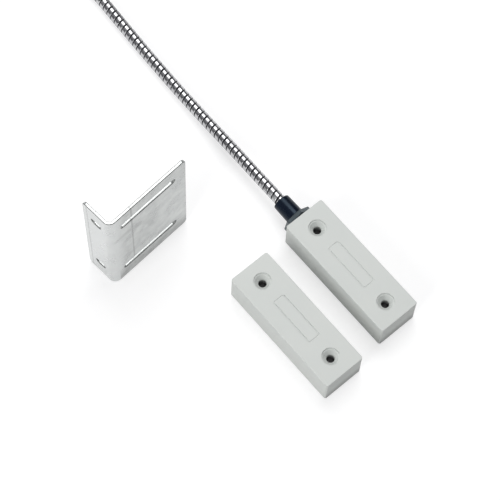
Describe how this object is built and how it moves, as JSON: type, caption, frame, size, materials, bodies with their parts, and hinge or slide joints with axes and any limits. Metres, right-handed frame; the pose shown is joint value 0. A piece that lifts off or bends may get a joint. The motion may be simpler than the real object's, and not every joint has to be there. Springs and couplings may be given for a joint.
{
  "type": "surface magnetic contact",
  "caption": "Surface-mount reed contact with an armoured lead, its matching magnet in a twin housing, and a slotted L bracket to mount them on.",
  "frame": {"origin": "midway between the switch's two screw holes, on its mounting face", "axes": "+X along the switch, away from its lead; +Y across it, away from the magnet; +Z out of the mounting face"},
  "size_m": [0.3819, 0.2205, 0.093],
  "materials": {
    "housing_plastic": "light grey moulded plastic, fine matt texture",
    "potting": "dark grey cast resin, satin",
    "reed_glass": "clear green-tinted glass",
    "reed_metal": "plated nickel-iron, bright",
    "tinned_metal": "tinned copper, bright",
    "cable_jacket": "dark grey PVC, satin",
    "core_red": "red PVC",
    "core_black": "black PVC",
    "core_white": "white PVC",
    "core_green": "green PVC",
    "gland_hex": "dark grey moulded nylon",
    "gland_sleeve": "blue-black moulded nylon, satin gloss",
    "seal_rubber": "black rubber",
    "conduit_steel": "bright stainless strip, wound and interlocked",
    "tie_nylon": "black nylon",
    "magnet_metal": "dark cast magnet alloy",
    "bracket_metal": "plain aluminium sheet, satin, faintly marked"
  },
  "bodies": {
    "root": {"switch_housing": "housing_plastic", "switch_potting": "potting", "reed_glass": "reed_glass", "reed_blade_fixed": "reed_metal", "reed_blade_moving": "reed_metal", "splice_near": "tinned_metal", "splice_far": "tinned_metal", "loop_splice": "tinned_metal", "housing_cable": "cable_jacket", "core_red": "core_red", "core_black": "core_black", "core_white": "core_white", "core_green": "core_green", "gland_body": "gland_hex", "gland_washer": "seal_rubber", "gland_locknut": "gland_hex", "gland_seal": "seal_rubber", "gland_sleeve": "gland_sleeve", "conduit": "conduit_steel", "conduit_coil": "conduit_steel", "coil_tie": "tie_nylon", "conduit_bush": "gland_sleeve", "cable_tail": "cable_jacket", "tail_core_red": "core_red", "tail_core_black": "core_black", "tail_core_white": "core_white", "tail_core_green": "core_green", "magnet_housing": "housing_plastic", "magnet_bar": "magnet_metal", "magnet_potting": "potting", "bracket": "bracket_metal"}
  },
  "joints": []
}
